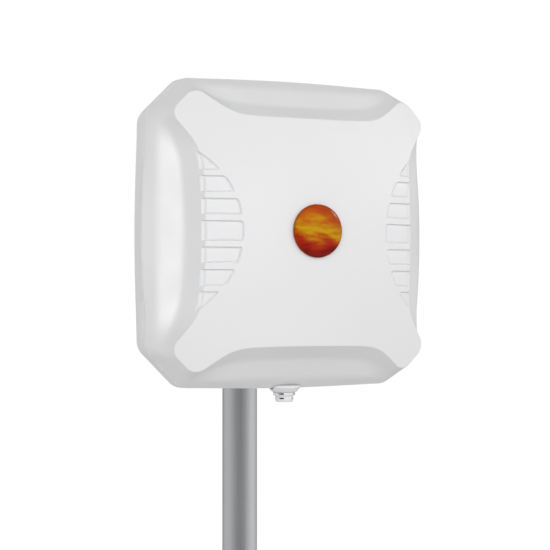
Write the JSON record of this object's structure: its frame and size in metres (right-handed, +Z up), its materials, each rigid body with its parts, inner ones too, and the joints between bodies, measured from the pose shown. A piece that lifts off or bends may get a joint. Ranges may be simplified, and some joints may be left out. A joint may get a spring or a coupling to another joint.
{
  "type": "directional panel antenna on a mast",
  "caption": "White domed panel antenna with a cable gland, held on a round mast by a clamp and a tilting bracket.",
  "frame": {"origin": "middle of the mast's foot", "axes": "+Z up along the mast, the antenna's face looks along -Y, +X to the right seen from its front"},
  "size_m": [0.25, 0.177, 0.455],
  "materials": {
    "radome": "satin white, UV-stable",
    "dark_plastic": "fine grain",
    "gland_plastic": "satin light grey",
    "mast_metal": "satin grey",
    "bracket_metal": "dull zinc plate",
    "stainless": "bright",
    "rubber": "matt",
    "badge_print": "amber to red print",
    "badge_resin": "clear gloss",
    "aluminium": "mill",
    "circuit_board": "solder mask",
    "nylon": "natural",
    "lead_jacket": "smooth"
  },
  "bodies": {
    "mast": {"mast_tube": "mast_metal", "mast_foot_plug": "dark_plastic", "mast_top_cap": "dark_plastic"},
    "clamp": {"mast_bracket": "bracket_metal", "saddle_upper": "bracket_metal", "saddle_lower": "bracket_metal", "u_bolt_upper": "stainless", "u_bolt_lower": "stainless", "clamp_nut_upper_left": "stainless", "clamp_nut_upper_right": "stainless", "clamp_nut_lower_left": "stainless", "clamp_nut_lower_right": "stainless", "pivot_bolt": "stainless", "pivot_nut": "stainless", "pivot_washer_left": "stainless", "pivot_washer_right": "stainless", "lock_bolt": "stainless", "lock_nut": "stainless", "lock_washer_left": "stainless", "lock_washer_right": "stainless"},
    "head": {"antenna_bracket": "bracket_metal", "rear_cover": "radome", "cover_gasket": "rubber", "front_cover": "radome", "badge_disc": "badge_print", "badge_dome": "badge_resin", "cover_screw_1": "stainless", "cover_screw_2": "stainless", "cover_screw_3": "stainless", "cover_screw_4": "stainless", "cover_screw_5": "stainless", "cover_screw_6": "stainless", "cover_screw_7": "stainless", "cover_screw_8": "stainless", "bracket_screw_1": "stainless", "bracket_screw_2": "stainless", "bracket_screw_3": "stainless", "bracket_screw_4": "stainless", "reflector_screw_1": "stainless", "reflector_screw_2": "stainless", "reflector_screw_3": "stainless", "reflector_screw_4": "stainless", "reflector_tray": "aluminium", "feed_board": "circuit_board", "balun_card_a": "circuit_board", "balun_card_b": "circuit_board", "radiator_board": "circuit_board", "radiator_spacer_1": "nylon", "radiator_spacer_2": "nylon", "radiator_spacer_3": "nylon", "radiator_spacer_4": "nylon", "director_post": "nylon", "director_plate": "aluminium", "feed_lead_left": "lead_jacket", "feed_lead_right": "lead_jacket", "gland_collar": "gland_plastic", "gland_seal": "rubber", "gland_boot": "gland_plastic", "gland_retainer": "dark_plastic"}
  },
  "joints": [
    {"name": "azimuth_swivel", "type": "hinge", "parent": "mast", "child": "clamp", "pos_m": [0, 0, 0.33], "axis": [0, 0, 1], "continuous": true},
    {"name": "elevation_tilt", "type": "hinge", "parent": "clamp", "child": "head", "pos_m": [0, -0.048, 0.33], "axis": [1, 0, 0], "range_deg": [-20, 20]}
  ]
}
